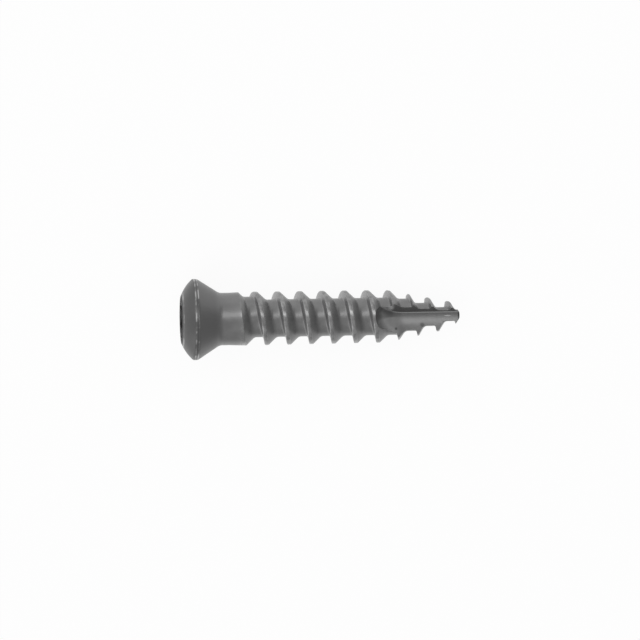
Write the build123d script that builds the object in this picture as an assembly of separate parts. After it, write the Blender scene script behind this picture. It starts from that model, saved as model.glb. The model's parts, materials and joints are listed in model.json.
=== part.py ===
from build123d import *
import os
from math import atan2, cos, degrees, floor, radians, sin, sqrt, tan

# Orthopedic bone screw, one piece, in millimetres with +Z up.
# It is built along its own axis, +X from the head's face to the tip, then laid down as it rests.

# Overall
screw_length = 21.15
rest_turn = -25.0
underside_angle = 270.0

# Head: domed face, narrow rim, conical seat and a short plain neck
head_diameter = 6.14
face_diameter = 3.6
dome_height = 0.88
dome_radius = 3.3
rim_width = 0.34
rim_face_radius = 0.08
rim_seat_radius = 0.5
seat_half_angle = 33.0
seat_root_radius = 1.0
neck_diameter = 3.97
neck_length = 0.76

# Drive socket: a hexagon with a chamfered mouth and a drilled bottom
socket_flats = 6
socket_across_flats = 2.5
socket_depth = 1.9
socket_mouth_chamfer = 0.14
socket_turn = 15.0
drill_point_angle = 118.0

# Thread: a helical groove in the shank, steep on the head side of each ridge
thread_diameter = 4.07
thread_taper_angle = 0.22
core_diameter = 2.84
thread_pitch = 1.692
crest_width = 0.27
leading_flank_angle = 46.0
trailing_flank_angle = 9.0
root_radius = 0.45
groove_lead_in = 0.33
groove_start_angle = 180.0
run_in_turns = 0.75

# Tip: crests and core taper, and the ridges close up and thin out into a sharp lead
crest_taper_length = 5.55
crest_taper_angle = 11.2
core_taper_length = 4.88
core_taper_angle = 12.8
lead_pitch = 1.53
lead_crest_width = 0.15
lead_flank_angle = 30.0
lead_blend_turns = 1.0
tip_core_diameter = 0.84
nose_diameter = 0.5
nose_half_angle = 56.0
nose_radius = 0.14

# Flutes milled along the tip by a disc cutter
flute_count = 2
flute_floor_length = 4.15
flute_cutter_radius = 2.2
flute_wall_lean = 23.0
flute_wall_offset = 0.28
flute_web = 0.4
flute_floor_radius = 2.4
flute_corner_radius = 0.12

# Cutters reach this far past the surfaces that they cut
overcut = 0.1
groove_overcut = 0.22
section_step = 30.0

head_radius = head_diameter / 2
neck_radius = neck_diameter / 2
crest_radius = thread_diameter / 2
core_radius = core_diameter / 2
rim_end = dome_height + rim_width
seat_end = rim_end + (head_radius - neck_radius) / tan(radians(seat_half_angle))
neck_end = seat_end + neck_length
groove_start = seat_end + groove_lead_in
thread_start = groove_start + thread_pitch
crest_taper_start = screw_length - crest_taper_length
core_taper_start = screw_length - core_taper_length
shank_turns = (crest_taper_start - groove_start) / thread_pitch


def nearest_vertex(shape, x, y):
    """The corner of a sketch that lies nearest to a point."""
    return shape.vertices().sort_by_distance((x, y))[0]


def crest_radius_at(station):
    """Radius of the thread's crests at a place along the axis."""
    shank = min(station, crest_taper_start) - thread_start
    tip = max(station - crest_taper_start, 0)
    return crest_radius - shank * tan(radians(thread_taper_angle)) - tip * tan(radians(crest_taper_angle))


def make_blank():
    """The turned bar: head, neck, shank and tip in one revolved profile."""
    nose_r = nose_diameter / 2
    nose = tan(radians(nose_half_angle))
    # The tip cone and the blunter nose cone meet where their radii agree
    nose_length = (crest_radius_at(screw_length) - nose_r) / (nose - tan(radians(crest_taper_angle)))
    corners = [
        (dome_height, head_radius),
        (rim_end, head_radius),
        (seat_end, neck_radius),
        (neck_end, neck_radius),
        (thread_start, crest_radius),
        (crest_taper_start, crest_radius_at(crest_taper_start)),
        (screw_length - nose_length, nose_r + nose_length * nose),
        (screw_length, nose_r),
        (screw_length, 0),
        (0, 0),
        (0, face_diameter / 2),
    ]
    dome = RadiusArc(corners[-1], corners[0], dome_radius)
    profile = make_face([dome, Polyline(*corners)])
    profile = fillet(nearest_vertex(profile, *corners[0]), rim_face_radius)
    profile = fillet(nearest_vertex(profile, *corners[1]), rim_seat_radius)
    profile = fillet(nearest_vertex(profile, *corners[2]), seat_root_radius)
    profile = fillet(nearest_vertex(profile, *corners[7]), nose_radius)
    return revolve(profile, Axis.X)


def groove_station(turn):
    """Place along the axis of the groove's head-side edge after this many turns."""
    lead_turns = max(turn - shank_turns, 0)
    return groove_start + thread_pitch * (turn - lead_turns) + lead_pitch * lead_turns


def groove_rise(turn):
    """How far the groove still stands out from its full depth in the run-in."""
    return (crest_radius + overcut - core_radius) * max(1 - turn / run_in_turns, 0)


def groove_root_radius(turn):
    """Radius of the full groove's root, which follows the core's taper."""
    tapered = groove_station(turn) + thread_pitch / 2 - core_taper_start
    radius = core_radius - max(tapered, 0) * tan(radians(core_taper_angle))
    return max(radius, tip_core_diameter / 2)


def groove_section(turn):
    """Section of the groove, x along the screw and y out from its axis, thinning the ridge in the lead."""
    blend = min(max(turn - shank_turns, 0) / lead_blend_turns, 1)
    pitch = thread_pitch + (lead_pitch - thread_pitch) * blend
    thinning = (crest_width - lead_crest_width) * blend
    width = pitch - crest_width + thinning
    lead = tan(radians(leading_flank_angle + (lead_flank_angle - leading_flank_angle) * blend))
    trail = tan(radians(trailing_flank_angle))
    station = groove_station(turn) - thinning
    root = groove_root_radius(turn)
    depth = max(crest_radius_at(station), root) - root
    far_depth = max(crest_radius_at(station + width), root) - root
    top = depth + groove_overcut
    lead_root = (depth * lead, 0)
    trail_root = (width - far_depth * trail, 0)
    lead_top = (-groove_overcut * lead, top)
    trail_top = (width + (top - far_depth) * trail, top)
    profile = make_face(Polyline(lead_top, lead_root, trail_root, trail_top, close=True))
    profile = fillet(nearest_vertex(profile, *lead_root), root_radius)
    return Rot(X=groove_start_angle + 360 * turn) * Pos(station, root + groove_rise(turn), 0) * profile


def cut_groove(screw):
    """Cut the thread, half a turn at a time, until the groove has run off the tip."""
    steps = round(180 / section_step)
    half_turn = 0
    while groove_station(half_turn / 2) < screw_length:
        turns = [(half_turn + step / steps) / 2 for step in range(steps + 1)]
        screw -= loft([groove_section(turn) for turn in turns])
        half_turn += 1
    return screw


def make_flute():
    """One flute: a straight run out through the tip, and the disc cutter's round run-out."""
    lean = tan(radians(flute_wall_lean))
    web = flute_web / 2
    floor_start = screw_length - flute_floor_length
    top = crest_radius + overcut
    arc_centre = web + flute_floor_radius
    corner_z = arc_centre - sqrt(flute_floor_radius ** 2 - flute_wall_offset ** 2)
    corner = (flute_wall_offset, corner_z)
    wall_top = (flute_wall_offset + (top - corner_z) * lean, top)
    floor_top = (-sqrt(flute_floor_radius ** 2 - (arc_centre - top) ** 2), top)
    floor_arc = ThreePointArc(corner, (0, web), floor_top)
    profile = make_face([floor_arc, Polyline(floor_top, wall_top, corner)])
    profile = fillet(nearest_vertex(profile, *corner), flute_corner_radius)
    profile = Plane(origin=(floor_start, 0, 0), x_dir=(0, 1, 0), z_dir=(1, 0, 0)) * profile
    run = extrude(profile, flute_floor_length + overcut)
    # The disc leans with the wall, so the wall stays flat where the flute runs out
    lean_angle = radians(flute_wall_lean)
    disc_y = flute_wall_offset + flute_cutter_radius * sin(lean_angle)
    disc_z = corner_z + flute_cutter_radius * cos(lean_angle)
    disc_axis = Axis((floor_start, disc_y, disc_z), (0, cos(lean_angle), -sin(lean_angle)))
    return run + revolve(profile, disc_axis, 90)


def make_socket():
    """The hexagon recess, with its mouth chamfer and the point of the drill below it."""
    drill_radius = socket_across_flats / 2
    face_plane = Plane(origin=(0, 0, 0), x_dir=(0, 1, 0), z_dir=(1, 0, 0))
    hexagon = RegularPolygon(drill_radius, socket_flats, major_radius=False, rotation=socket_turn)
    recess = extrude(face_plane * hexagon, socket_depth)
    mouth_radius = drill_radius + socket_mouth_chamfer
    mouth = make_face(Polyline((0, 0), (0, mouth_radius), (mouth_radius, 0), close=True))
    point_length = drill_radius / tan(radians(drill_point_angle / 2))
    point = make_face(
        Polyline(
            (0, 0),
            (0, drill_radius),
            (socket_depth, drill_radius),
            (socket_depth + point_length, 0),
            close=True,
        )
    )
    return recess + revolve(mouth, Axis.X) + revolve(point, Axis.X)


def lie_down(screw):
    """Lay the screw on z = 0, where its rim and its last whole crest touch the surface."""
    flute_start = screw_length - flute_floor_length - flute_cutter_radius
    under_turn = (underside_angle - rest_turn - groove_start_angle) / 360
    under_station = groove_station(under_turn)
    crest_station = under_station + thread_pitch * floor((flute_start - under_station) / thread_pitch)
    drop = head_radius - crest_radius_at(crest_station)
    rest_angle = degrees(atan2(drop, crest_station - rim_end))
    laid = Rot(Y=rest_angle) * Rot(X=rest_turn) * screw
    box = laid.bounding_box()
    print(f"rest angle {rest_angle:.3f}, head face centre moved by {-box.center().X:.4f}, {-box.min.Z:.4f}")
    return Pos(-box.center().X, -box.center().Y, -box.min.Z) * laid


screw = cut_groove(make_blank())
flute = make_flute()
for number in range(flute_count):
    screw -= Rot(X=360 / flute_count * number) * flute
screw -= make_socket()
os.makedirs("parts", exist_ok=True)
export_step(lie_down(screw), "parts/bone_screw.step")
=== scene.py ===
import json
from collections import namedtuple
from itertools import pairwise
from math import asin, copysign, cos, pi, radians, sin, sqrt, tan
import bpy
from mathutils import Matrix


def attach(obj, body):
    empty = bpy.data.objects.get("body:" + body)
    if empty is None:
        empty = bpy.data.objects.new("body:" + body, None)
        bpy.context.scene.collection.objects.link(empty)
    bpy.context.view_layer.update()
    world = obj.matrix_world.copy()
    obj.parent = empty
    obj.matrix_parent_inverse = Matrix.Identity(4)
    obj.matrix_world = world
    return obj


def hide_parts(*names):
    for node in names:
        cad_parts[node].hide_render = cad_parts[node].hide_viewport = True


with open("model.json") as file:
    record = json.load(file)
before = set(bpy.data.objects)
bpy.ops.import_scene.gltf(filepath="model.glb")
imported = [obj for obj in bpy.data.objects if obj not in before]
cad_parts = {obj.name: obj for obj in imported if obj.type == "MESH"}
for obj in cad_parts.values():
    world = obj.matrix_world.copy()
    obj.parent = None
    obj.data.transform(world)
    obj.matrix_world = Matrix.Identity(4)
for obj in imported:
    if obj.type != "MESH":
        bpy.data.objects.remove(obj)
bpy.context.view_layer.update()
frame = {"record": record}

from types import SimpleNamespace

import bmesh
import bpy
from bpy.props import FloatProperty, FloatVectorProperty, IntProperty, PointerProperty
from bpy.types import Operator, Panel, PropertyGroup
from mathutils import Matrix, Vector

bl_info = {
    "name": "Orthopedic bone screw",
    "version": (1, 0, 0),
    "blender": (4, 5, 0),
    "location": "View3D > Sidebar > Bone screw",
    "description": "Builds a self-tapping bone screw of grey titanium and the stage that it lies on",
    "category": "Object",
}

# The mount on the drive socket gives the middle of the head's face and the way that the screw points
socket_mount = next(mount for mount in frame["record"]["mounts"] if mount["name"] == "drive_socket")
face_centre = Vector(socket_mount["pos_m"])
axis_to_tip = -Vector(socket_mount["axis"])
millimetre = 0.001

# The picture is square, and this many of its pixels show a millimetre of the screw
picture_pixels = 640
pixels_per_mm = 13.2

# Steps in the rounds of a section or an outline
small_round_steps = 4
root_round_steps = 7
large_round_steps = 8
nose_round_steps = 6
dome_steps = 24
flute_steps = 30

# A round takes at most this share of a side, and a ridge's edge round this share of the ridge's top
most_of_side = 0.48
most_of_crest = 0.3

# Points that lie nearer than this, in millimetres, become one
thread_merge = 1e-4
outline_merge = 1e-5
trim_merge = 1e-6

# Soft lamps, placed by the picture's right, up and viewer directions, with distance and size in metres
SoftBox = namedtuple("SoftBox", "name direction distance size brightness")
soft_boxes = (
    SoftBox("strip", (0.0, 0.32, 1.0), 0.45, (0.45, 0.165), 1.52),
    SoftBox("top_box", (-0.8, 0.85, 0.65), 0.5, (0.9, 0.6), 0.46),
    SoftBox("low_box", (-0.8, -1.0, 0.4), 0.5, (0.9, 0.4), 0.6),
)


def length(name, description, size):
    """A length property whose default is given in millimetres."""
    return FloatProperty(
        name=name, description=description, default=size * millimetre, min=0.0, unit="LENGTH", precision=5
    )


def angle(name, description, size):
    """An angle property whose default is given in degrees."""
    return FloatProperty(name=name, description=description, default=radians(size), unit="ROTATION")


def amount(name, description, size, highest=1.0):
    """A plain number property from nothing to its highest value."""
    return FloatProperty(name=name, description=description, default=size, min=0.0, max=highest)


def count(name, description, number, least, most):
    """A whole number property."""
    return IntProperty(name=name, description=description, default=number, min=least, max=most)


def grey(name, description, level):
    """A neutral colour property."""
    return FloatVectorProperty(
        name=name, description=description, default=(level,) * 3, min=0.0, max=1.0, subtype="COLOR"
    )


def spot(name, description, along, beside):
    """A place on the near side, given in millimetres along and beside the screw's axis."""
    return FloatVectorProperty(
        name=name,
        description=description,
        default=(along * millimetre, beside * millimetre),
        size=2,
        unit="LENGTH",
        precision=5,
    )


class HeadSizes(PropertyGroup):
    """The turned head, its plain neck and the drive socket."""

    screw_length: length("Screw length", "From the head's face to the tip", 21.15)
    rest_turn: angle("Rest turn", "Turn about its own axis at which the screw lies still", -25.0)
    head_diameter: length("Head diameter", "Across the rim", 6.14)
    face_diameter: length("Face diameter", "Across the flat face", 3.6)
    face_edge_radius: length("Face edge", "Round between the face and the dome", 0.05)
    dome_height: length("Dome height", "From the face to the rim", 0.88)
    dome_radius: length("Dome radius", "Radius of the domed ring", 3.3)
    rim_width: length("Rim width", "Straight band at the widest place", 0.34)
    rim_face_radius: length("Rim edge, face side", "Round between the dome and the rim", 0.14)
    rim_seat_radius: length("Rim edge, seat side", "Round between the rim and the seat", 0.5)
    seat_half_angle: angle("Seat half angle", "Slope of the conical seat", 33.0)
    seat_root_radius: length("Seat root", "Round between the seat and the neck", 1.0)
    neck_diameter: length("Neck diameter", "Across the plain neck", 3.97)
    neck_length: length("Neck length", "From the seat to the thread's first rise", 0.76)
    neck_joint: length("Neck joint", "Where the head's mesh meets the thread's, from the seat", 0.46)
    socket_flats: count("Socket flats", "Sides of the drive socket", 6, 3, 12)
    socket_across_flats: length("Socket across flats", "Size of the hexagon", 2.5)
    socket_depth: length("Socket depth", "Depth of the flats", 1.9)
    socket_mouth_chamfer: length("Socket chamfer", "Chamfer round the mouth", 0.14)
    socket_turn: angle("Socket turn", "Turn of the hexagon about the axis", 15.0)
    socket_clearance: length("Socket clearance", "Play between the drilled hole and the flats", 0.005)
    drill_point_angle: angle("Drill point", "Included angle of the drilled bottom", 118.0)


class ThreadSizes(PropertyGroup):
    """The helical thread, from its run-in at the neck to its lead at the tip."""

    thread_diameter: length("Thread diameter", "Across the first crests", 4.07)
    thread_taper_angle: angle("Thread taper", "Slope of the crests along the shank", 0.22)
    core_diameter: length("Core diameter", "Across the groove's root", 2.84)
    thread_pitch: length("Pitch", "From crest to crest along the shank", 1.692)
    crest_width: length("Crest width", "Flat top of a ridge", 0.27)
    crest_edge_radius: length("Crest edge", "Round along both edges of a ridge", 0.09)
    leading_flank_angle: angle("Leading flank", "Slope of a ridge's tip side", 46.0)
    trailing_flank_angle: angle("Trailing flank", "Slope of a ridge's head side", 9.0)
    root_radius: length("Root radius", "Round at the foot of the leading flank", 0.45)
    trailing_root_radius: length("Trailing root", "Round at the foot of the trailing flank", 0.16)
    groove_lead_in: length("Groove lead-in", "From the seat's end to the groove's start", 0.33)
    groove_start_angle: angle("Groove start", "Angle at which the groove starts", 180.0)
    run_in_turns: amount("Run-in turns", "Turns over which the groove sinks in", 0.75)
    least_depth: length("Least depth", "Depth of the section that rises out at the run-in", 0.25)


class TipSizes(PropertyGroup):
    """The tapered tip with its closing, thinning ridges and its flutes."""

    crest_taper_length: length("Crest taper length", "Length of the crests' taper", 5.55)
    crest_taper_angle: angle("Crest taper", "Slope of the crests' taper", 11.2)
    core_taper_length: length("Core taper length", "Length of the core's taper", 4.88)
    core_taper_angle: angle("Core taper", "Slope of the core's taper", 12.8)
    lead_pitch: length("Lead pitch", "Pitch of the ridges on the taper", 1.53)
    lead_crest_width: length("Lead crest width", "Flat top of a ridge on the taper", 0.15)
    least_crest_width: length("Least crest width", "Narrowest top of a ridge", 0.02)
    lead_flank_angle: angle("Lead flank", "Slope of a ridge's tip side on the taper", 30.0)
    lead_blend_turns: amount("Lead blend turns", "Turns over which the ridges thin out", 1.0, 4.0)
    tip_core_diameter: length("Tip core", "Thinnest core", 0.84)
    nose_diameter: length("Nose diameter", "Across the blunt end", 0.5)
    nose_half_angle: angle("Nose half angle", "Slope of the nose", 56.0)
    nose_radius: length("Nose radius", "Round at the blunt end", 0.14)
    flute_count: count("Flutes", "Flutes round the tip", 2, 1, 4)
    flute_floor_length: length("Flute length", "Straight run of a flute", 4.15)
    flute_cutter_radius: length("Cutter radius", "Radius of the disc that mills a flute", 2.2)
    flute_wall_lean: angle("Wall lean", "Lean of a flute's cutting wall", 23.0)
    flute_wall_offset: length("Wall offset", "Distance of the wall's foot from the axis plane", 0.28)
    flute_web: length("Web", "Thickness left between the flutes", 0.4)
    flute_floor_radius: length("Floor radius", "Hollow of a flute's floor", 2.4)
    flute_corner_radius: length("Corner radius", "Round at the foot of the wall", 0.12)


class MeshSteps(PropertyGroup):
    """How finely the round shapes are stepped, and how far the cutters reach."""

    steps_per_turn: count("Thread steps", "Steps in a turn of the thread", 96, 24, 180)
    head_steps: count("Head steps", "Steps round the head", 192, 48, 360)
    overcut: length("Overcut", "How far cutters reach past the surfaces that they cut", 0.1)
    sharp_angle: angle("Sharp angle", "Edges that turn by more than this stay crisp", 35.0)


class FinishSettings(PropertyGroup):
    """The titanium's colour, marks and wear, and the light and shade painted into its colour."""

    base_grey: grey("Base grey", "Colour of the satin metal", 0.185)
    light_grey: grey("Light grey", "Lighter clouds in the metal", 0.205)
    # Painted shade: the dome and rim, and a little less the seat, are darker greys than the body
    head_grey: grey("Head grey", "Colour of the duller dome and rim", 0.1)
    seat_grey: grey("Seat grey", "Colour of the conical seat", 0.152)
    # Darker flat face and nose, painted shade in the socket and below the flutes' walls, and painted
    # shadows of small spots
    dark_grey: grey("Dark grey", "Colour of the flat face, the socket, the nose and the marks", 0.05)
    # Painted light: the ridges' sides that face the head are lighter, against the shade that falls there
    flank_grey: grey("Flank grey", "Colour of the ridges' sides that face the head", 0.3)
    # Painted light on each flute's hollow run-out, which is made lighter than the body
    run_out_grey: grey("Run-out grey", "Fresh milled metal where a flute starts", 0.33)
    # Burr at the start of each flute's wall: not modelled, so its lit look is painted light
    burr_grey: grey("Burr grey", "Torn metal where a flute's wall starts", 0.8)
    # Bright worn metal on the crests and the rim, and painted highlights on the face's edge, the flutes'
    # wall feet and a line near the tip
    worn_grey: grey("Worn grey", "Bright metal along worn edges", 0.5)
    metallic: amount("Metallic", "Share of mirror-like metal in the satin surface", 0.75)
    roughness: amount("Roughness", "Roughness of the satin metal", 0.34)
    head_roughness: amount("Head roughness", "Roughness of the duller head", 0.38)
    face_roughness: amount("Face roughness", "Roughness of the head's flat face", 0.70)
    worn_roughness: amount("Worn roughness", "Roughness of the worn edges", 0.18)
    wear_depth: length("Wear depth", "How far below the crests the wear reaches", 0.06)
    edge_softness: length("Edge softness", "How far the light rounds a crisp edge", 0.04)
    mark_strength: amount("Mark strength", "Strength of the turning marks", 0.06)
    grain_strength: amount("Grain strength", "Strength of the blasted grain", 0.03)
    relief_depth: length("Relief depth", "Full depth of the marks and the grain", 0.06)
    # Painted shadows of two small spots by the flute's lower edge
    first_mark: spot("First mark", "Small dark mark at the flute's lower edge", 16.27, -0.96)
    second_mark: spot("Second mark", "Small dark mark further along", 18.28, -0.69)
    mark_reach: length("Mark reach", "Radius of the small dark marks", 0.15)
    # A painted highlight line on the flute's floor near the tip
    streak: spot("Streak", "Light scratch on the flute's floor near the tip", 20.24, -0.03)
    streak_width: length("Streak width", "Half width of the light scratch", 0.07)


class StageSettings(PropertyGroup):
    """The camera, the lights and the floor."""

    frame_width: length("Frame width", "Width of the picture at the screw", picture_pixels / pixels_per_mm)
    camera_distance: length("Camera distance", "From the screw's axis", 500.0)
    view_lean: angle("View lean", "Lean of the view towards the head", 4.86)
    view_roll: angle("View roll", "Turn of the picture", -1.0)
    aim_station: length("Aim station", "Place on the axis at the picture's middle", 10.54)
    aim_side: length("Aim side", "How far below the axis the picture's middle is", 0.2)
    floor_size: length("Floor size", "Side of the floor", 3000.0)
    card_grey: grey("Card grey", "Colour of the floor itself", 0.9)
    floor_white: amount("Floor white", "Share of plain white in what the floor shows", 0.93)
    head_side_grey: grey("Head side grey", "Level of the surround on the head's side", 0.82)
    tip_side_grey: grey("Tip side grey", "Level of the surround past the tip", 0.42)


setting_groups = {
    "screw_head": HeadSizes,
    "screw_thread": ThreadSizes,
    "screw_tip": TipSizes,
    "screw_steps": MeshSteps,
    "screw_finish": FinishSettings,
    "screw_stage": StageSettings,
}


def read_sizes(scene):
    """All sizes by name, lengths in millimetres and angles in radians, and what follows from them."""
    screw = SimpleNamespace()
    for name in ("screw_head", "screw_thread", "screw_tip", "screw_steps"):
        group = getattr(scene, name)
        for key in group.__annotations__:
            in_metres = group.bl_rna.properties[key].unit == "LENGTH"
            setattr(screw, key, getattr(group, key) / millimetre if in_metres else getattr(group, key))
    screw.head_radius = screw.head_diameter / 2
    screw.neck_radius = screw.neck_diameter / 2
    screw.crest_radius = screw.thread_diameter / 2
    screw.core_radius = screw.core_diameter / 2
    screw.nose_end_radius = screw.nose_diameter / 2
    screw.rim_end = screw.dome_height + screw.rim_width
    screw.seat_end = screw.rim_end + (screw.head_radius - screw.neck_radius) / tan(screw.seat_half_angle)
    screw.neck_end = screw.seat_end + screw.neck_length
    screw.joint_station = screw.seat_end + screw.neck_joint
    screw.groove_start = screw.seat_end + screw.groove_lead_in
    screw.thread_start = screw.groove_start + screw.thread_pitch
    screw.crest_taper_start = screw.screw_length - screw.crest_taper_length
    screw.core_taper_start = screw.screw_length - screw.core_taper_length
    screw.flute_floor_start = screw.screw_length - screw.flute_floor_length
    screw.shank_turns = (screw.crest_taper_start - screw.groove_start) / screw.thread_pitch
    screw.last_turn = screw.shank_turns + screw.crest_taper_length / screw.lead_pitch + 1
    return screw


def lying_matrix(screw):
    """Takes the screw from its own axis, in millimetres, to where it lies in the frame."""
    side = Vector((0, 1, 0))
    axes = Matrix((axis_to_tip, side, axis_to_tip.cross(side))).transposed().to_4x4()
    turned = axes @ Matrix.Rotation(screw.rest_turn, 4, "X")
    return Matrix.Translation(face_centre) @ turned @ Matrix.Scale(millimetre, 4)


def fillet(before, corner, after, radius, steps):
    """Points of a round that is tangent to both sides of a corner, as long as the sides allow."""
    first = before - corner
    second = after - corner
    half = first.angle(second) / 2
    reach = min(radius / tan(half), most_of_side * min(first.length, second.length))
    start = corner + first.normalized() * reach
    end = corner + second.normalized() * reach
    centre = corner + (first.normalized() + second.normalized()).normalized() * (reach / cos(half))
    spoke = start - centre
    sweep = copysign(pi - 2 * half, spoke.cross(end - centre))
    return [centre + Matrix.Rotation(sweep * step / steps, 2) @ spoke for step in range(steps + 1)]


def arc(start, end, radius, steps):
    """Points of an arc that bulges to the left of the way from start to end."""
    chord = end - start
    rise = sqrt(radius**2 - (chord.length / 2) ** 2)
    centre = (start + end) / 2 + Vector((chord.y, -chord.x)).normalized() * rise
    sweep = -2 * asin(chord.length / 2 / radius)
    spoke = start - centre
    return [centre + Matrix.Rotation(sweep * step / steps, 2) @ spoke for step in range(steps + 1)]


def crest_radius_at(screw, station):
    """Radius of the thread's crests at a place along the axis."""
    shank = min(station, screw.crest_taper_start) - screw.thread_start
    tip = max(station - screw.crest_taper_start, 0)
    return screw.crest_radius - shank * tan(screw.thread_taper_angle) - tip * tan(screw.crest_taper_angle)


def blank_radius(screw, station):
    """Radius of the turned bar before its thread is cut."""
    if station <= screw.neck_end:
        return screw.neck_radius
    if station < screw.thread_start:
        rise = (station - screw.neck_end) / (screw.thread_start - screw.neck_end)
        return screw.neck_radius + (screw.crest_radius - screw.neck_radius) * rise
    return crest_radius_at(screw, station)


def lead_blend(screw, turn):
    """From nothing on the shank to one where the ridges are as thin as in the lead."""
    return min(max(turn - screw.shank_turns, 0) / screw.lead_blend_turns, 1)


def groove_station(screw, turn):
    """Place along the axis of the groove after this many turns."""
    lead_turns = max(turn - screw.shank_turns, 0)
    return screw.groove_start + screw.thread_pitch * (turn - lead_turns) + screw.lead_pitch * lead_turns


def groove_far_edge(screw, turn):
    """Place of the groove's tip-side edge, where the next ridge starts."""
    pitch = screw.thread_pitch + (screw.lead_pitch - screw.thread_pitch) * lead_blend(screw, turn)
    return groove_station(screw, turn) + pitch - screw.crest_width


def groove_near_edge(screw, turn):
    """Place of the groove's head-side edge, where the ridge before it ends."""
    thinning = (screw.crest_width - screw.lead_crest_width) * lead_blend(screw, turn)
    least = groove_far_edge(screw, turn - 1) + screw.least_crest_width
    return max(groove_station(screw, turn) - thinning, least)


def groove_rise(screw, turn):
    """How far the groove still stands out from its full depth in the run-in."""
    full_rise = screw.crest_radius + screw.overcut - screw.core_radius
    return full_rise * max(1 - turn / screw.run_in_turns, 0)


def groove_root_radius(screw, turn):
    """Radius of the full groove's root, which follows the core's taper."""
    tapered = groove_station(screw, turn) + screw.thread_pitch / 2 - screw.core_taper_start
    radius = screw.core_radius - max(tapered, 0) * tan(screw.core_taper_angle)
    return max(radius, screw.tip_core_diameter / 2)


def crest_edge_radius(screw, width):
    """Round of a ridge's edges, smaller where the ridge is narrow."""
    return min(screw.crest_edge_radius, most_of_crest * width)


GrooveCorners = namedtuple("GrooveCorners", "near_crest near_root far_root far_crest lift")


def groove_corners(screw, turn):
    """The section's four corners and the lift that takes a shallow groove out of the bar."""
    near = groove_near_edge(screw, turn)
    far = groove_far_edge(screw, turn)
    blend = lead_blend(screw, turn)
    lead = tan(screw.leading_flank_angle + (screw.lead_flank_angle - screw.leading_flank_angle) * blend)
    trail = tan(screw.trailing_flank_angle)
    root = groove_root_radius(screw, turn)
    least_crest = min(crest_radius_at(screw, near), crest_radius_at(screw, far))
    floor = min(root, least_crest - screw.least_depth)
    near_root = Vector((near + (crest_radius_at(screw, near) - floor) * lead, floor))
    far_root = Vector((far - (crest_radius_at(screw, far) - floor) * trail, floor))
    # A groove that is lifted keeps its flanks, so its edges close in while it is still deep enough
    lift = root - floor + groove_rise(screw, turn)
    closed = min(lift, least_crest - floor - screw.least_depth)
    near += closed * lead
    far -= closed * trail
    near_root.y += closed
    far_root.y += closed
    near_crest = Vector((near, crest_radius_at(screw, near)))
    far_crest = Vector((far, crest_radius_at(screw, far)))
    return GrooveCorners(near_crest, near_root, far_root, far_crest, lift - closed)


def raised(screw, points, lift):
    """The points lifted from the axis, as far as the bar's surface."""
    return [Vector((point.x, min(point.y + lift, blank_radius(screw, point.x)))) for point in points]


def ridge_end(screw, turn):
    """The rounded edge where a ridge ends and the groove begins."""
    near_crest, near_root, _, _, lift = groove_corners(screw, turn)
    before = groove_corners(screw, turn - 1).far_crest
    width = near_crest.x - before.x
    edge = fillet(before, near_crest, near_root, crest_edge_radius(screw, width), small_round_steps)
    return raised(screw, edge, lift)


def thread_section(screw, turn):
    """The section of one turn: the end of a ridge, the groove and the end of the next ridge."""
    near_crest, near_root, far_root, far_crest, lift = groove_corners(screw, turn)
    after = groove_corners(screw, turn + 1).near_crest
    width = after.x - far_crest.x
    points = fillet(near_crest, near_root, far_root, screw.root_radius, root_round_steps)
    points += fillet(near_root, far_root, far_crest, screw.trailing_root_radius, small_round_steps)
    points += fillet(far_root, far_crest, after, crest_edge_radius(screw, width), small_round_steps)
    return ridge_end(screw, turn) + raised(screw, points, lift) + ridge_end(screw, turn + 1)[:1]


def vertices_in(items):
    """The vertices among the items that a mesh operator returns."""
    return [item for item in items if isinstance(item, bmesh.types.BMVert)]


def make_thread(screw):
    """The threaded shank: one turn's section, spun along a helix and shaped turn by turn."""
    bm = bmesh.new()
    rank = bm.verts.layers.int.new("rank")
    first_turn = -1
    turns = int(screw.last_turn - first_turn) + 1
    stops = [first_turn + step / screw.steps_per_turn for step in range(turns * screw.steps_per_turn + 1)]
    sections = [thread_section(screw, stop) for stop in stops]
    advance = screw.thread_pitch / screw.steps_per_turn
    line = []
    for number in range(len(sections[0])):
        vertex = bm.verts.new((0, screw.core_radius, 0))
        vertex[rank] = number
        line.append(vertex)
    edges = [bm.edges.new(pair) for pair in pairwise(line)]
    bmesh.ops.spin(
        bm,
        geom=line + edges,
        cent=(0, 0, 0),
        axis=(1, 0, 0),
        dvec=(advance, 0, 0),
        angle=2 * pi,
        steps=screw.steps_per_turn,
    )
    one_turn = bm.verts[:] + bm.edges[:] + bm.faces[:]
    for number in range(1, turns):
        copied = bmesh.ops.duplicate(bm, geom=one_turn)["geom"]
        bmesh.ops.translate(bm, verts=vertices_in(copied), vec=(screw.thread_pitch * number, 0, 0))
    for vertex in bm.verts:
        step = round(vertex.co.x / advance)
        station, radius = sections[step][vertex[rank]]
        turn = screw.groove_start_angle + 2 * pi * step / screw.steps_per_turn
        vertex.co = (station, radius * cos(turn), radius * sin(turn))
    bmesh.ops.remove_doubles(bm, verts=bm.verts, dist=thread_merge)
    trim(bm, screw.joint_station, clear_inner=True)
    tip_loop = trim(bm, screw.screw_length + screw.nose_radius, clear_outer=True)
    bmesh.ops.holes_fill(bm, edges=tip_loop, sides=0)
    return bm


def trim(bm, station, **side):
    """Cuts the mesh square to the axis and returns the new edges."""
    everything = bm.verts[:] + bm.edges[:] + bm.faces[:]
    cut = bmesh.ops.bisect_plane(
        bm, geom=everything, dist=trim_merge, plane_co=(station, 0, 0), plane_no=(1, 0, 0), **side
    )
    return [item for item in cut["geom_cut"] if isinstance(item, bmesh.types.BMEdge)]


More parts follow.
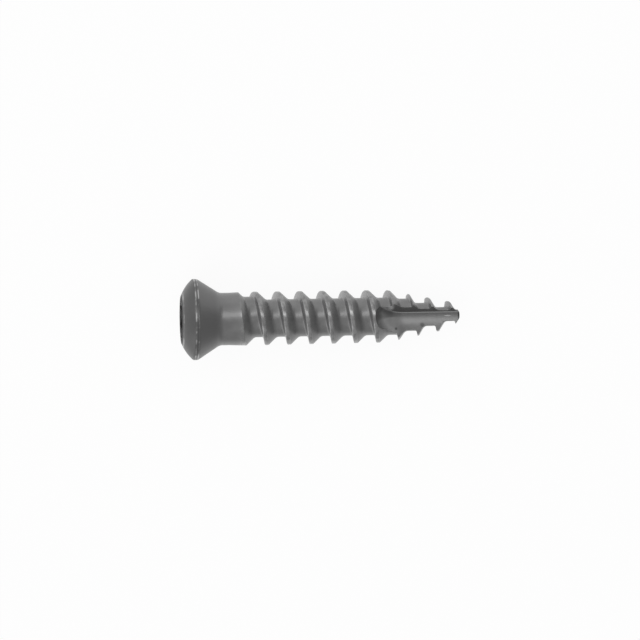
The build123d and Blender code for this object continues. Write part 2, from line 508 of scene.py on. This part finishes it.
def spin_outline(outline, steps):
    """A mesh that is turned about the axis from an outline of stations and radii."""
    bm = bmesh.new()
    line = [bm.verts.new((point[0], point[1], 0)) for point in outline]
    edges = [bm.edges.new(pair) for pair in pairwise(line)]
    bmesh.ops.spin(
        bm, geom=line + edges, cent=(0, 0, 0), axis=(1, 0, 0), angle=2 * pi, steps=steps, use_merge=True
    )
    bmesh.ops.remove_doubles(bm, verts=bm.verts, dist=outline_merge)
    return bm


def head_outline(screw):
    """Stations and radii of the head, from the middle of its face to the neck."""
    middle = Vector((0, 0))
    face_edge = Vector((0, screw.face_diameter / 2))
    rim_front = Vector((screw.dome_height, screw.head_radius))
    rim_back = Vector((screw.rim_end, screw.head_radius))
    seat_foot = Vector((screw.seat_end, screw.neck_radius))
    neck = Vector((screw.joint_station, screw.neck_radius))
    dome = arc(face_edge, rim_front, screw.dome_radius, dome_steps)
    # The rounds take the place of the dome's first and last steps
    outline = [middle]
    outline += fillet(middle, face_edge, dome[2], screw.face_edge_radius, small_round_steps)
    outline += dome[2:-2]
    outline += fillet(dome[-3], rim_front, rim_back, screw.rim_face_radius, small_round_steps)
    outline += fillet(rim_front, rim_back, seat_foot, screw.rim_seat_radius, large_round_steps)
    outline += fillet(rim_back, seat_foot, neck, screw.seat_root_radius, large_round_steps)
    return outline + [neck]


def make_blank_screw(screw):
    """Head and threaded shank as one closed mesh, before the milled cuts."""
    bm = make_thread(screw)
    head = spin_outline(head_outline(screw), screw.head_steps)
    carried = bpy.data.meshes.new("head")
    head.to_mesh(carried)
    head.free()
    bm.from_mesh(carried)
    bpy.data.meshes.remove(carried)
    open_edges = [edge for edge in bm.edges if edge.is_boundary]
    bmesh.ops.bridge_loops(bm, edges=open_edges)
    return bm


def make_nose_cutter(screw):
    """All that lies outside the blunt nose cone."""
    slope = tan(screw.nose_half_angle)
    reach = screw.crest_radius
    rim = Vector((screw.screw_length - (reach - screw.nose_end_radius) / slope, reach))
    end = Vector((screw.screw_length, screw.nose_end_radius))
    middle = Vector((screw.screw_length, 0))
    beyond = screw.screw_length + reach
    outline = [middle] + fillet(middle, end, rim, screw.nose_radius, nose_round_steps)
    outline += [rim, Vector((beyond, reach)), Vector((beyond, 0))]
    return spin_outline(outline, screw.steps_per_turn)


def make_flute_cutter(screw):
    """A flute's section, milled along the tip, with the disc cutter's round run-out at its start."""
    web = screw.flute_web / 2
    top = screw.crest_radius + screw.overcut
    arc_centre = web + screw.flute_floor_radius
    corner_z = arc_centre - sqrt(screw.flute_floor_radius**2 - screw.flute_wall_offset**2)
    corner = Vector((screw.flute_wall_offset, corner_z))
    wall_top = Vector((corner.x + (top - corner.y) * tan(screw.flute_wall_lean), top))
    floor_top = Vector((-sqrt(screw.flute_floor_radius**2 - (arc_centre - top) ** 2), top))
    floor = arc(corner, floor_top, screw.flute_floor_radius, flute_steps)
    foot = fillet(wall_top, corner, floor[1], screw.flute_corner_radius, small_round_steps)
    section = foot + floor[2:] + [wall_top]
    bm = bmesh.new()
    ring = [bm.verts.new((screw.flute_floor_start, point.x, point.y)) for point in section]
    edges = [bm.edges.new(pair) for pair in pairwise(ring + ring[:1])]
    run = bmesh.ops.extrude_edge_only(bm, edges=edges)["geom"]
    run_length = screw.flute_floor_length + screw.overcut
    bmesh.ops.translate(bm, verts=vertices_in(run), vec=(run_length, 0, 0))
    # The disc leans with the wall, so the wall stays flat where the flute runs out
    lean_sin = sin(screw.flute_wall_lean)
    lean_cos = cos(screw.flute_wall_lean)
    disc_y = corner.x + screw.flute_cutter_radius * lean_sin
    disc_z = corner.y + screw.flute_cutter_radius * lean_cos
    bmesh.ops.spin(
        bm,
        geom=ring + edges,
        cent=(screw.flute_floor_start, disc_y, disc_z),
        axis=(0, lean_cos, -lean_sin),
        angle=pi / 2,
        steps=flute_steps,
    )
    bmesh.ops.holes_fill(bm, edges=[edge for edge in bm.edges if edge.is_boundary], sides=0)
    return bm


def make_hexagon_cutter(screw):
    """The flats of the drive socket."""
    bm = bmesh.new()
    along_axis = Matrix(((0, 0, 1), (1, 0, 0), (0, 1, 0))).to_4x4()
    half_flat = pi / screw.socket_flats
    turned = along_axis @ Matrix.Rotation(screw.socket_turn - half_flat, 4, "Z")
    corner_radius = screw.socket_across_flats / 2 / cos(half_flat)
    bmesh.ops.create_circle(
        bm, cap_ends=True, segments=screw.socket_flats, radius=corner_radius, matrix=turned
    )
    bmesh.ops.translate(bm, verts=bm.verts, vec=(-screw.overcut, 0, 0))
    bottom = bmesh.ops.extrude_face_region(bm, geom=bm.faces[:])["geom"]
    bmesh.ops.translate(bm, verts=vertices_in(bottom), vec=(screw.socket_depth + screw.overcut, 0, 0))
    return bm


def make_mouth_cutter(screw):
    """The chamfer round the socket's mouth."""
    mouth = screw.socket_across_flats / 2 + screw.socket_mouth_chamfer
    front = -screw.overcut
    return spin_outline([(front, 0), (front, mouth - front), (mouth, 0)], screw.head_steps)


def make_drill_cutter(screw):
    """The drilled hole inside the flats, with its conical bottom."""
    radius = screw.socket_across_flats / 2 - screw.socket_clearance
    bottom = screw.socket_depth + radius / tan(screw.drill_point_angle / 2)
    front = -screw.overcut
    outline = [(front, 0), (front, radius), (screw.socket_depth, radius), (bottom, 0)]
    return spin_outline(outline, screw.head_steps)


def to_object(bm, name):
    """A mesh object from a bmesh, with its faces pointing outwards."""
    bmesh.ops.recalc_face_normals(bm, faces=bm.faces)
    mesh = bpy.data.meshes.new(name)
    bm.to_mesh(mesh)
    bm.free()
    piece = bpy.data.objects.new(name, mesh)
    bpy.context.scene.collection.objects.link(piece)
    return piece


def cut_away(piece, cutters):
    """Takes the cutters out of a piece, one after another, and bakes the result into its mesh."""
    for cutter in cutters:
        cut = piece.modifiers.new(cutter.name, "BOOLEAN")
        cut.operation = "DIFFERENCE"
        cut.solver = "MANIFOLD"
        cut.object = cutter
    drawn = piece.evaluated_get(bpy.context.evaluated_depsgraph_get())
    baked = bpy.data.meshes.new_from_object(drawn)
    piece.modifiers.clear()
    piece.data = baked
    for cutter in cutters:
        bpy.data.objects.remove(cutter)


def finish_mesh(piece, screw):
    """Cleans the cut mesh, keeps its sharp edges crisp and lays it where it belongs."""
    bm = bmesh.new()
    bm.from_mesh(piece.data)
    bmesh.ops.remove_doubles(bm, verts=bm.verts, dist=thread_merge)
    bmesh.ops.dissolve_degenerate(bm, edges=bm.edges, dist=thread_merge)
    bmesh.ops.triangulate(bm, faces=[face for face in bm.faces if len(face.verts) > 4])
    bmesh.ops.recalc_face_normals(bm, faces=bm.faces)
    for face in bm.faces:
        face.smooth = True
    for edge in bm.edges:
        edge.smooth = edge.calc_face_angle(pi) < screw.sharp_angle
    bmesh.ops.transform(bm, matrix=lying_matrix(screw), verts=bm.verts)
    bm.to_mesh(piece.data)
    bm.free()


def maths(operation):
    """A method that adds a Math node for this operation."""

    def method(self, *others):
        return self.sheet.node("Math", {"operation": operation}, self, *others)

    return method


class Wire:
    """A shader socket that takes part in Python expressions, each of which adds a Math node."""

    __add__ = __radd__ = maths("ADD")
    __mul__ = __rmul__ = maths("MULTIPLY")
    __sub__ = maths("SUBTRACT")
    __truediv__ = maths("DIVIDE")
    __pow__ = maths("POWER")
    at_least = maths("MAXIMUM")
    at_most = maths("MINIMUM")
    sign = maths("SIGN")

    def __init__(self, sheet, socket):
        self.sheet = sheet
        self.socket = socket

    def __rsub__(self, other):
        return self.sheet.node("Math", {"operation": "SUBTRACT"}, other, self)

    def ramp(self, low, high):
        """A smooth step from nothing at low to one at high."""
        settings = {"interpolation_type": "SMOOTHSTEP"}
        return self.sheet.node("MapRange", settings, self, low, high, 0.0, 1.0, output="Result")

    def spread(self, low, high):
        """A mask that runs from low to high instead of from nothing to one."""
        return low + (high - low) * self

    def sibling(self, output):
        """Another output of the same node."""
        return Wire(self.sheet, pick(self.socket.node.outputs, output))


def pick(sockets, key):
    """A socket by its number, or by its identifier, in which underscores may stand for spaces."""
    if isinstance(key, int):
        return sockets[key]
    return next(item for item in sockets if item.identifier.replace(" ", "_") == key.replace(" ", "_"))


class Sheet:
    """A node tree, and one method that adds any node to it."""

    def __init__(self, tree):
        self.tree = tree
        self.tree.nodes.clear()

    def node(self, kind, settings=None, *values, output=0, **named):
        """Adds a node of a kind, sets it up, then fills its sockets by order or by name."""
        added = self.tree.nodes.new("ShaderNode" + kind)
        for name, value in (settings or {}).items():
            setattr(added, name, value)
        for key, value in (dict(enumerate(values)) | named).items():
            socket = pick(added.inputs, key)
            if isinstance(value, Wire):
                self.tree.links.new(value.socket, socket)
            else:
                socket.default_value = value
        if not added.outputs:
            return added
        return Wire(self, pick(added.outputs, output))

    def mix(self, factor, first, second):
        """A colour between two others."""
        ends = {"Factor_Float": factor, "A_Color": first, "B_Color": second}
        return self.node("Mix", {"data_type": "RGBA"}, output="Result_Color", **ends)

    def dot(self, first, second):
        """How far one direction points along another."""
        return self.node("VectorMath", {"operation": "DOT_PRODUCT"}, first, second, output="Value")


def opaque(colour):
    """A colour property as the four numbers that a socket takes."""
    return (*colour, 1.0)


def line_at(position, middle, half_width):
    """A soft line: one at its middle, nothing at its two edges."""
    return position.ramp(middle - half_width, middle) * (1 - position.ramp(middle, middle + half_width))


def diagonal(first, second):
    """Length of a way that goes one distance along and the other across."""
    return (first * first + second * second) ** 0.5


def own_place(sheet, screw):
    """Where a point lies along, beside and above the axis, in millimetres, and how it faces."""
    lying = lying_matrix(screw)
    unlay = lying.inverted()
    at = SimpleNamespace()
    at.point = sheet.node(
        "Mapping",
        {"vector_type": "POINT"},
        sheet.node("TexCoord", output="Object"),
        unlay.to_translation(),
        unlay.to_euler(),
        (1 / millimetre,) * 3,
    )
    at.station = sheet.node("SeparateXYZ", None, at.point, output="X")
    at.side = at.station.sibling("Y")
    at.height = at.station.sibling("Z")
    at.radius = diagonal(at.side, at.height)
    normal = sheet.node("NewGeometry", output="Normal")
    _, side_axis, height_axis = lying.to_3x3().normalized().col
    at.towards_head = sheet.dot(normal, -axis_to_tip)
    at.towards_side = sheet.dot(normal, side_axis)
    at.towards_height = sheet.dot(normal, height_axis)
    # How far a surface leans across the round ones that were turned on the lathe
    at.across = (at.towards_side * at.height - at.towards_height * at.side) / at.radius
    return at


def crest_mask(at, look, screw):
    """One along the tops of the ridges, fading in with the thread."""
    wear = look.wear_depth / millimetre
    full_wear = 0.2 * wear
    fade_in = 0.9
    on_shank = at.station.at_most(screw.crest_taper_start) - screw.thread_start
    on_taper = (at.station - screw.crest_taper_start).at_least(0.0)
    narrowed = on_shank * tan(screw.thread_taper_angle) + on_taper * tan(screw.crest_taper_angle)
    on_thread = at.station.ramp(screw.thread_start - fade_in, screw.thread_start)
    return (at.radius - (screw.crest_radius - narrowed)).ramp(-wear, -full_wear) * on_thread


def head_edge_mask(at, screw):
    """Thin lines along both edges of the rim and, fainter, round the flat face: partly wear, partly
    painted highlight.
    """
    past_dome = 0.1
    before_seat = 0.04
    rim_line = 0.09
    behind_face = 0.1
    face_line = 0.07
    face_margin = 0.1
    face_share = 0.7
    dome_edge = line_at(at.station, screw.dome_height + past_dome, rim_line)
    seat_edge = line_at(at.station, screw.rim_end - before_seat, rim_line)
    face_radius = screw.face_diameter / 2
    off_face = at.radius.ramp(face_radius - face_margin, face_radius)
    face_edge = line_at(at.station, behind_face, face_line) * off_face
    return dome_edge + seat_edge + face_share * face_edge


def flute_masks(at, screw):
    """A painted highlight line and a painted shade along the foot of each flute's wall, and painted light
    on the wall's start.
    """
    # Along the flute, from where its straight floor starts
    wall_start = (-2.6, -2.4)
    shade_start = (-2.2, -1.8)
    tear_end = (-1.1, -0.8)
    # Out from the foot of the wall
    line_edge = (0.03, 0.09)
    shade_edge = (0.1, 0.55)
    shade_top = (-0.1, 0.0)
    wall_foot = (-0.05, 0.05)
    wall_facing = (0.6, 0.85)
    round_share = 0.25
    thin_shade = 0.5

    # Both flutes fall together when the far one is turned half round
    flip = at.height.sign()
    along = at.station - screw.flute_floor_start
    # In the run-out the foot climbs the wall on the disc cutter's circle
    cutter = screw.flute_cutter_radius
    back = (0 - along).at_least(0.0).at_most(cutter)
    climb = cutter - (cutter**2 - back * back) ** 0.5
    foot_y = screw.flute_wall_offset + sin(screw.flute_wall_lean) * climb
    foot_height = screw.flute_web / 2 + round_share * screw.flute_corner_radius
    foot_z = foot_height + cos(screw.flute_wall_lean) * climb
    from_foot_y = at.side * flip - foot_y
    from_foot = diagonal(from_foot_y, at.height * flip - foot_z)
    past_tear = along.ramp(*tear_end)
    # Painted highlight along the foot of the wall, past its start
    foot_line = (1 - from_foot.ramp(*line_edge)) * past_tear
    below_foot = (1 - from_foot.ramp(*shade_edge)) * (1 - from_foot_y.ramp(*shade_top))
    foot_shade = below_foot * along.ramp(*shade_start) * (1 - thin_shade * past_tear)
    on_wall = (0 - flip * at.towards_side).ramp(*wall_facing) * from_foot_y.ramp(*wall_foot)
    # Burr at the wall's start: not modelled, its lit look is painted light
    burr = on_wall * (1 - past_tear) * along.ramp(*wall_start)
    return foot_line, foot_shade, burr


def run_out_painted_light_mask(at, screw):
    """One on a flute's hollow run-out, which leans across the turned surfaces and faces the tip: where
    light is painted.
    """
    start = (-2.3, -2.1)
    end = (-0.4, 0.0)
    hollow_lean = (0.05, 0.35)
    tip_facing = (0.08, 0.4)
    along = at.station - screw.flute_floor_start
    in_run_out = along.ramp(*start) * (1 - along.ramp(*end))
    return at.across.ramp(*hollow_lean) * (0 - at.towards_head).ramp(*tip_facing) * in_run_out


def spot_mask(at, place, reach, stretch=1.0):
    """A soft patch on the near side, stretched along the axis."""
    full_share = 0.3
    near_side = (0.0, 0.1)
    along, beside = (value / millimetre for value in place)
    size = reach / millimetre
    distance = diagonal((at.station - along) / stretch, at.side - beside)
    return (1 - distance.ramp(full_share * size, size)) * at.height.ramp(*near_side)


def titanium_textures(sheet, at):
    """The blasted grain, soft clouds, turning marks round the axis and patches of wear."""
    ring_stretch = (26.0, 0.7, 0.7)
    patch_edge = (0.35, 0.65)
    texture = SimpleNamespace()
    texture.grain = sheet.node("TexNoise", None, Vector=at.point, Scale=24.0, Detail=3.0, Roughness=0.6)
    texture.clouds = sheet.node("TexNoise", None, Vector=at.point, Scale=1.4, Detail=4.0, Roughness=0.55)
    rings = sheet.node("VectorMath", {"operation": "MULTIPLY"}, at.point, ring_stretch)
    texture.marks = sheet.node("TexNoise", None, Vector=rings, Scale=1.0, Detail=2.0, Roughness=0.5)
    patches = sheet.node("TexNoise", None, Vector=at.point, Scale=2.2, Detail=2.0, Roughness=0.5)
    texture.patches = patches.ramp(*patch_edge)
    return texture


def titanium_masks(at, texture, look, screw):
    """Where the colour and finish differ: the head with painted shade, flanks and flutes with painted
    light and shade, worn edges with painted highlights, and painted shadows of small spots.
    """
    head_end = (-0.5, 0.3)
    seat_start = (-0.1, 0.1)
    face_skin = (0.01, 0.04)
    nose_skin = (-0.16, -0.08)
    socket_wall = (1.5, 1.6)
    flank_facing = (0.55, 0.9)
    cloudy_edge = (0.42, 0.6)
    edge_wear = (0.1, 0.8)
    first_share = 0.7
    second_share = 0.6
    second_reach = 1.6 * look.mark_reach
    streak_stretch = 5.0

    on = SimpleNamespace()
    on.head = 1 - (at.station - screw.seat_end).ramp(*head_end)
    on.seat = (at.station - screw.rim_end).ramp(*seat_start)
    on.face = 1 - at.station.ramp(*face_skin)
    # Painted shade in the socket
    on.socket = (1 - at.station.ramp(screw.rim_end, screw.seat_end)) * (1 - at.radius.ramp(*socket_wall))
    on.nose = (at.station - screw.screw_length).ramp(*nose_skin)
    past_neck = at.station.ramp(screw.neck_end, screw.thread_start)
    # Painted light on the ridges' sides that face the head
    on.trailing_flank = at.towards_head.ramp(*flank_facing) * past_neck
    on.crests = crest_mask(at, look, screw)
    # Wear and painted highlights along the head's edges
    on.head_edges = head_edge_mask(at, screw) * texture.clouds.ramp(*cloudy_edge).spread(*edge_wear)
    # Painted highlight and painted shade along each flute's wall foot, and painted light on the wall's
    # start
    on.foot_line, on.foot_shade, on.burr = flute_masks(at, screw)
    # Painted light on each flute's run-out
    on.run_out = run_out_painted_light_mask(at, screw)
    # Painted shadows of two small spots by the flute's lower edge
    first_mark = spot_mask(at, look.first_mark, look.mark_reach)
    second_mark = spot_mask(at, look.second_mark, second_reach)
    on.dark_marks = first_share * first_mark + second_share * second_mark
    # Painted highlight line on the flute's floor near the tip
    on.streak = spot_mask(at, look.streak, look.streak_width, streak_stretch)
    return on


def titanium_colour(sheet, on, texture, look):
    """The greys of the body, with painted light, and of the head, with painted shade, then the dark places
    and painted shade, then the bright worn edges and painted highlights.
    """
    cloud_edge = (0.3, 0.7)
    burr_share = (0.4, 1.0)
    crest_share = (0.05, 0.35)
    shade_share = 0.6
    line_share = 0.5
    streak_share = 0.6
    body = sheet.mix(texture.clouds.ramp(*cloud_edge), opaque(look.base_grey), opaque(look.light_grey))
    # Painted light on the ridges' sides that face the head
    body = sheet.mix(on.trailing_flank, body, opaque(look.flank_grey))
    # Painted light on the start of each flute's wall
    body = sheet.mix(on.burr * texture.patches.spread(*burr_share), body, opaque(look.burr_grey))
    # Painted light on each flute's run-out
    body = sheet.mix(on.run_out, body, opaque(look.run_out_grey))
    # Painted shade on the head's dome and rim, less on its seat
    head = sheet.mix(on.seat, opaque(look.head_grey), opaque(look.seat_grey))
    body = sheet.mix(on.head, body, head)
    # Darker face and nose, with painted shade in the socket, below the flutes' walls and in small spots
    dark = on.face + on.socket + on.nose + on.dark_marks + shade_share * on.foot_shade
    body = sheet.mix(dark, body, opaque(look.dark_grey))
    # Wear on the crests and the rim, with painted highlights on the head's edges, the flutes' wall feet
    # and a line near the tip
    worn = on.crests * texture.patches.spread(*crest_share) + on.head_edges
    worn = worn + line_share * on.foot_line + streak_share * on.streak
    return sheet.mix(worn, body, opaque(look.worn_grey))


def titanium_roughness(on, texture, look):
    """Satin all over, duller on the head and its face, and smooth along the worn edges."""
    middle = 0.5
    grain_share = 0.06
    marks_share = 0.08
    clouds_share = 0.06
    crest_share = (0.4, 1.0)
    head_edge_share = 0.6
    satin = look.roughness + (look.head_roughness - look.roughness) * on.head
    satin = satin + (look.face_roughness - look.head_roughness) * on.face
    satin = satin + grain_share * (texture.grain - middle) + marks_share * (texture.marks - middle)
    satin = satin + clouds_share * (texture.clouds - middle)
    polished = on.crests * texture.patches.spread(*crest_share) + head_edge_share * on.head_edges
    polished = (polished + on.foot_line).at_most(1.0)
    return satin + polished * (look.worn_roughness - satin)


def titanium_normal(sheet, texture, look):
    """Edges that the light rounds off, with the fine relief of the marks and the grain."""
    bevel_samples = 8
    relief_strength = 0.5
    relief = look.mark_strength * texture.marks + look.grain_strength * texture.grain
    softened = sheet.node("Bevel", {"samples": bevel_samples}, Radius=look.edge_softness)
    depth = {"Strength": relief_strength, "Distance": look.relief_depth}
    return sheet.node("Bump", None, Height=relief, Normal=softened, **depth)


def make_titanium(scene, screw):
    """Satin grey titanium: blasted grain, fine turning marks, soft clouds and bright worn edges, with
    painted light, shade and highlights in its colour.
    """
    look = scene.screw_finish
    material = bpy.data.materials.new("grey_titanium_satin")
    material.use_nodes = True
    sheet = Sheet(material.node_tree)
    at = own_place(sheet, screw)
    texture = titanium_textures(sheet, at)
    on = titanium_masks(at, texture, look, screw)
    surface = sheet.node(
        "BsdfPrincipled",
        None,
        Base_Color=titanium_colour(sheet, on, texture, look),
        Metallic=look.metallic,
        Roughness=titanium_roughness(on, texture, look),
        Normal=titanium_normal(sheet, texture, look),
    )
    sheet.node("OutputMaterial", None, surface)
    return material


class BONESCREW_OT_screw(Operator):
    """Build the screw: spin its head and thread, mill its flutes and socket, and give it its finish."""

    bl_idname = "bone_screw.screw"
    bl_label = "Bone screw"

    def execute(self, context):
        screw = read_sizes(context.scene)
        piece = to_object(make_blank_screw(screw), "screw_body")
        cutters = [to_object(make_nose_cutter(screw), "nose_cutter")]
        for number in range(screw.flute_count):
            flute = make_flute_cutter(screw)
            turn = Matrix.Rotation(2 * pi * number / screw.flute_count, 3, "X")
            bmesh.ops.rotate(flute, verts=flute.verts, cent=(0, 0, 0), matrix=turn)
            cutters.append(to_object(flute, f"flute_cutter_{number}"))
        cutters.append(to_object(make_hexagon_cutter(screw), "hexagon_cutter"))
        cutters.append(to_object(make_drill_cutter(screw), "drill_cutter"))
        cutters.append(to_object(make_mouth_cutter(screw), "mouth_cutter"))
        cut_away(piece, cutters)
        finish_mesh(piece, screw)
        piece.data.materials.clear()
        piece.data.materials.append(make_titanium(context.scene, screw))
        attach(piece, "root")
        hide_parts("bone_screw")
        return {"FINISHED"}


def make_floor(stage):
    """A pale floor that shows as white and keeps the screw's soft shadow."""
    bm = bmesh.new()
    bmesh.ops.create_grid(bm, x_segments=8, y_segments=8, size=stage.floor_size / 2)
    floor = to_object(bm, "floor")
    material = bpy.data.materials.new("white_floor")
    material.use_nodes = True
    sheet = Sheet(material.node_tree)
    seen = sheet.node("LightPath", output="Is Camera Ray")
    mirrored = seen.sibling("Is Glossy Ray").at_least(seen.sibling("Is Transmission Ray"))
    card = sheet.node("BsdfDiffuse", None, Color=opaque(stage.card_grey))
    white = sheet.node("Emission", None, Color=(1.0, 1.0, 1.0, 1.0), Strength=1.0)
    surface = sheet.node("MixShader", None, seen.at_least(mirrored) * stage.floor_white, card, white)
    sheet.node("OutputMaterial", None, surface)
    floor.data.materials.append(material)


def make_world(scene, stage):
    """A grey surround that dims towards the tip's side."""
    dimming = (-0.9, 0.9)
    world = bpy.data.worlds.new("studio")
    scene.world = world
    world.use_nodes = True
    sheet = Sheet(world.node_tree)
    along = sheet.dot(sheet.node("TexCoord", output="Generated"), axis_to_tip)
    level = sheet.mix(along.ramp(*dimming), opaque(stage.head_side_grey), opaque(stage.tip_side_grey))
    sheet.node("OutputWorld", None, sheet.node("Background", None, Color=level, Strength=1.0))


def view_axes(stage, screw):
    """The picture's right, up and viewer directions, and the point at its middle."""
    lying = lying_matrix(screw)
    turned = lying.to_3x3().normalized()
    lean = Matrix.Rotation(-stage.view_lean, 3, "Y") @ Matrix.Rotation(stage.view_roll, 3, "Z")
    aim = lying @ Vector((stage.aim_station / millimetre, -stage.aim_side / millimetre, 0))
    return turned @ lean, aim


def make_camera(scene, axes, aim, stage):
    """The camera at the photograph's viewing angle, whose frame spans the picture's width."""
    camera = bpy.data.cameras.new("camera")
    camera.sensor_fit = "HORIZONTAL"
    camera.sensor_width = 36.0
    camera.lens = camera.sensor_width * stage.camera_distance / stage.frame_width
    camera.clip_start = 0.01
    camera.clip_end = 10.0
    holder = bpy.data.objects.new("camera", camera)
    scene.collection.objects.link(holder)
    eye = aim + axes @ Vector((0, 0, stage.camera_distance))
    holder.matrix_world = Matrix.Translation(eye) @ axes.to_4x4()
    scene.camera = holder


def make_softbox(scene, box, axes, aim):
    """A soft rectangular lamp that faces the screw, placed by the picture's directions."""
    lamp = bpy.data.lights.new(box.name, "AREA")
    lamp.shape = "RECTANGLE"
    lamp.size, lamp.size_y = box.size
    lamp.energy = box.brightness * pi * lamp.size * lamp.size_y
    holder = bpy.data.objects.new(box.name, lamp)
    scene.collection.objects.link(holder)
    towards = Vector(box.direction).normalized()
    across = Vector((0, 1, 0)).cross(towards).normalized()
    turned = Matrix((across, towards.cross(across), towards)).transposed()
    place = Matrix.Translation(aim + axes @ towards * box.distance)
    holder.matrix_world = place @ (axes @ turned).to_4x4()


class BONESCREW_OT_stage(Operator):
    """Set the floor, the surround, the camera and the soft lamps."""

    bl_idname = "bone_screw.stage"
    bl_label = "Stage"

    def execute(self, context):
        scene = context.scene
        stage = scene.screw_stage
        axes, aim = view_axes(stage, read_sizes(scene))
        make_floor(stage)
        make_world(scene, stage)
        make_camera(scene, axes, aim, stage)
        for box in soft_boxes:
            make_softbox(scene, box, axes, aim)
        scene.view_settings.view_transform = "Standard"
        return {"FINISHED"}


class BONESCREW_PT_panel(Panel):
    """The screw's sizes, finish and stage in the sidebar."""

    bl_idname = "BONESCREW_PT_panel"
    bl_label = "Bone screw"
    bl_space_type = "VIEW_3D"
    bl_region_type = "UI"
    bl_category = "Bone screw"

    def draw(self, context):
        for name in setting_groups:
            group = getattr(context.scene, name)
            column = self.layout.box().column()
            for key in group.__annotations__:
                column.prop(group, key)
        for operator in (BONESCREW_OT_screw, BONESCREW_OT_stage):
            self.layout.operator(operator.bl_idname)


classes = (*setting_groups.values(), BONESCREW_OT_screw, BONESCREW_OT_stage, BONESCREW_PT_panel)


def register():
    for item in classes:
        bpy.utils.register_class(item)
    for name, group in setting_groups.items():
        setattr(bpy.types.Scene, name, PointerProperty(type=group))


def unregister():
    for name in setting_groups:
        delattr(bpy.types.Scene, name)
    for item in reversed(classes):
        bpy.utils.unregister_class(item)


def main():
    register()
    bpy.ops.bone_screw.screw()
    bpy.ops.bone_screw.stage()


if __name__ == "__main__":
    main()
